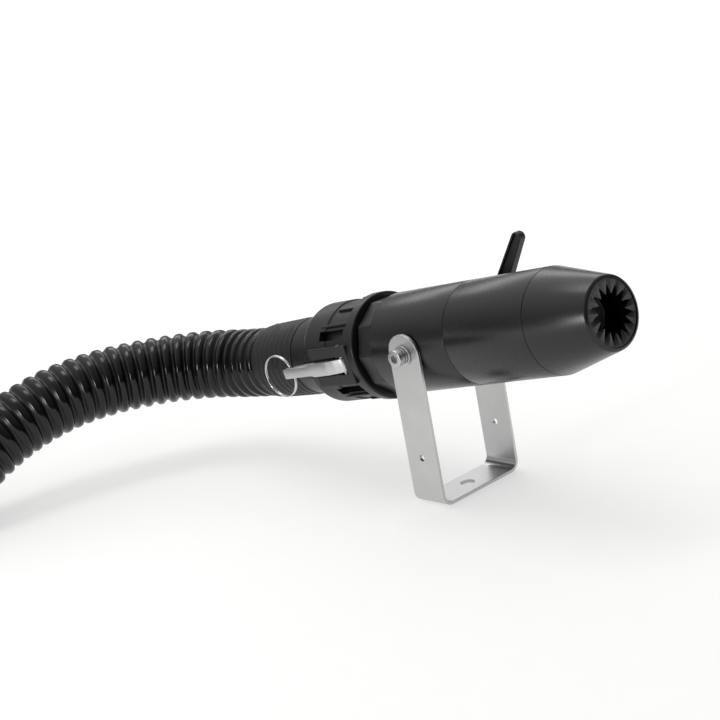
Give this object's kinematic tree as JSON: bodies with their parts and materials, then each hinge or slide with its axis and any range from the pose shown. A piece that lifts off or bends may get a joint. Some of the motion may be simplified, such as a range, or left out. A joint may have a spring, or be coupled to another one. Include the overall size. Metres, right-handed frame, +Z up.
{
  "type": "snow machine head",
  "caption": "Tubular snow machine head with a star-shaped outlet, held in a U bracket and fed by a ribbed air hose through a cam-lever coupler.",
  "frame": {"origin": "on the floor under the middle of the head's box, without the hose and what is on its far end; the bracket stands on this floor", "axes": "+X the way the nozzle points (it is pitched up 11 degrees), +Z up, the pivot screw's side is -Y and the clamp lever's side is +Y"},
  "size_m": [1.1742, 0.7519, 0.1874],
  "materials": {
    "barrel_rear": "black satin powder coat on aluminium",
    "barrel_front": "black satin powder coat on aluminium",
    "nose_cone": "black satin powder coat on aluminium",
    "outlet_plate": "black glass-filled polypropylene, moulded",
    "foam_sock": "charcoal knitted polyester",
    "sock_band": "zinc-plated steel, bright",
    "spray_jet": "turned brass",
    "sock_carrier": "black glass-filled polypropylene, moulded",
    "fluid_tube": "translucent polyethylene tube",
    "adapter": "black glass-filled polypropylene, moulded",
    "coupler_body": "black glass-filled polypropylene, moulded",
    "coupler_gasket": "matt black rubber",
    "cam_arm_near": "cast stainless steel, tumbled bright",
    "cam_arm_far": "cast stainless steel, tumbled bright",
    "cam_pin_near": "cast stainless steel, tumbled bright",
    "cam_pin_far": "cast stainless steel, tumbled bright",
    "pull_ring_near": "bright nickel-plated spring wire",
    "pull_ring_far": "bright nickel-plated spring wire",
    "hose_cuff": "matt black rubber",
    "hose": "glossy soft black PVC",
    "hose_coil": "glossy soft black PVC",
    "end_cuff": "matt black rubber",
    "end_adapter": "black glass-filled polypropylene, moulded",
    "bracket": "stainless strap, brushed lengthwise",
    "pivot_screw": "zinc-plated steel, bright",
    "spring_washer": "zinc-plated steel, bright",
    "flat_washer": "zinc-plated steel, bright",
    "pivot_insert_near": "turned brass",
    "pivot_insert_far": "turned brass",
    "lever_handle": "black glass-filled nylon, fine texture",
    "lever_hub": "zinc-plated steel, bright",
    "lever_screw": "zinc-plated steel, bright",
    "lever_spring": "bright nickel-plated spring wire",
    "lever_washer": "zinc-plated steel, bright"
  },
  "bodies": {
    "head": {"barrel_rear": "barrel_rear", "barrel_front": "barrel_front", "nose_cone": "nose_cone", "outlet_plate": "outlet_plate", "foam_sock": "foam_sock", "sock_band": "sock_band", "spray_jet": "spray_jet", "sock_carrier": "sock_carrier", "fluid_tube": "fluid_tube", "adapter": "adapter", "coupler_body": "coupler_body", "coupler_gasket": "coupler_gasket", "cam_pin_near": "cam_pin_near", "cam_pin_far": "cam_pin_far", "hose_cuff": "hose_cuff", "hose": "hose", "hose_coil": "hose_coil", "end_cuff": "end_cuff", "end_adapter": "end_adapter", "pivot_screw": "pivot_screw", "spring_washer": "spring_washer", "flat_washer": "flat_washer", "pivot_insert_near": "pivot_insert_near", "pivot_insert_far": "pivot_insert_far", "lever_washer": "lever_washer"},
    "bracket": {"bracket": "bracket"},
    "cam_arm_near": {"cam_arm_near": "cam_arm_near"},
    "cam_arm_far": {"cam_arm_far": "cam_arm_far"},
    "pull_ring_near": {"pull_ring_near": "pull_ring_near"},
    "pull_ring_far": {"pull_ring_far": "pull_ring_far"},
    "lever_hub": {"lever_hub": "lever_hub", "lever_screw": "lever_screw", "lever_spring": "lever_spring"},
    "lever_handle": {"lever_handle": "lever_handle"}
  },
  "joints": [
    {"name": "bracket_tilt", "type": "hinge", "parent": "head", "child": "bracket", "pos_m": [0.01657, -0.00435, 0.1154], "axis": [0, -1, 0], "range_deg": [-42, 65]},
    {"name": "lever_turn", "type": "hinge", "parent": "head", "child": "lever_hub", "pos_m": [0.01657, -0.00435, 0.1154], "axis": [0, 1, 0], "range_deg": [-90, 90]},
    {"name": "lever_lift", "type": "slide", "parent": "lever_hub", "child": "lever_handle", "axis": [0, 1, 0], "range_m": [0, 0.0037], "stiffness_N_per_m": 1200, "springref_m": -0.002, "deforming": ["lever_spring"]},
    {"name": "cam_arm_near_open", "type": "hinge", "parent": "head", "child": "cam_arm_near", "pos_m": [-0.05582, -0.0393, 0.09946], "axis": [-0.1905, -0.0523, 0.9803], "range_deg": [0, 100]},
    {"name": "cam_arm_far_open", "type": "hinge", "parent": "head", "child": "cam_arm_far", "pos_m": [-0.05652, 0.0306, 0.10306], "axis": [0.1905, 0.0523, -0.9803], "range_deg": [0, 100]},
    {"name": "pull_ring_near_swing", "type": "hinge", "parent": "cam_arm_near", "child": "pull_ring_near", "pos_m": [-0.11114, -0.0438, 0.08847], "axis": [-0.1905, -0.0523, 0.9803], "range_deg": [-10, 95]},
    {"name": "pull_ring_far_swing", "type": "hinge", "parent": "cam_arm_far", "child": "pull_ring_far", "pos_m": [-0.11193, 0.0351, 0.09253], "axis": [0.1905, 0.0523, -0.9803], "range_deg": [-10, 95]}
  ]
}
